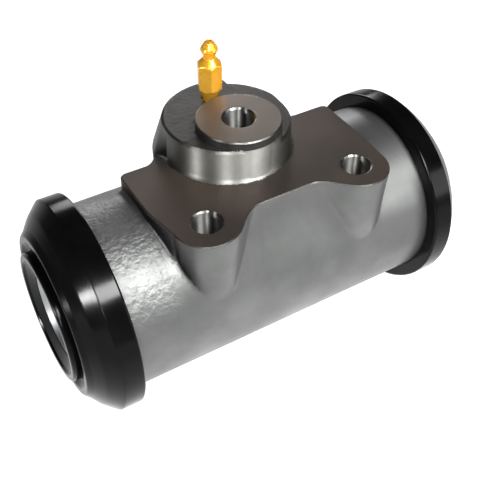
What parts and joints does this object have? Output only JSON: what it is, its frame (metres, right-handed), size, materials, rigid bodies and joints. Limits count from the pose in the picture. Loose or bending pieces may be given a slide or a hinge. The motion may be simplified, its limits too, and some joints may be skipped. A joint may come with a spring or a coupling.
{
  "type": "wheel cylinder",
  "caption": "Double-ended hydraulic brake wheel cylinder: iron barrel with a lugged mounting pad, a port spigot, a bleeder screw and a black dust boot on each end.",
  "frame": {"origin": "on the mounting face, midway between the two mounting bolt holes", "axes": "+X along the bore towards the right-hand boot, +Z out of the mounting face, +Y from the bolt line to the bore's axis"},
  "size_m": [0.159, 0.0784, 0.112],
  "materials": {
    "cast_iron": "as cast under clear lacquer, machined on the pad, spigot and land",
    "piston_alloy": "turned and hard anodised, near black",
    "cup_rubber": "moulded, smooth",
    "expander_steel": "pressed and zinc plated",
    "spring_steel": "drawn wire",
    "boot_rubber": "moulded, glossy",
    "passivated_steel": "turned, zinc plated and yellow passivated"
  },
  "bodies": {
    "housing": {"cylinder_body": "cast_iron", "left_boot": "boot_rubber", "right_boot": "boot_rubber", "return_spring": "spring_steel"},
    "left_plunger": {"left_piston": "piston_alloy", "left_cup": "cup_rubber", "left_cup_expander": "expander_steel"},
    "right_plunger": {"right_piston": "piston_alloy", "right_cup": "cup_rubber", "right_cup_expander": "expander_steel"},
    "bleeder": {"bleeder_screw": "passivated_steel"}
  },
  "joints": [
    {"name": "left_piston_slide", "type": "slide", "parent": "housing", "child": "left_plunger", "axis": [-1, 0, 0], "range_m": [-0.004, 0.008], "stiffness_N_per_m": 1500, "deforming": ["left_boot", "return_spring"]},
    {"name": "right_piston_slide", "type": "slide", "parent": "housing", "child": "right_plunger", "axis": [1, 0, 0], "range_m": [-0.004, 0.008], "stiffness_N_per_m": 1500, "deforming": ["right_boot", "return_spring"]},
    {"name": "bleeder_turn", "type": "hinge", "parent": "housing", "child": "bleeder", "pos_m": [-0.0028, 0.045, 0.0125], "axis": [0, 0, 1], "range_deg": [0, 360]}
  ]
}
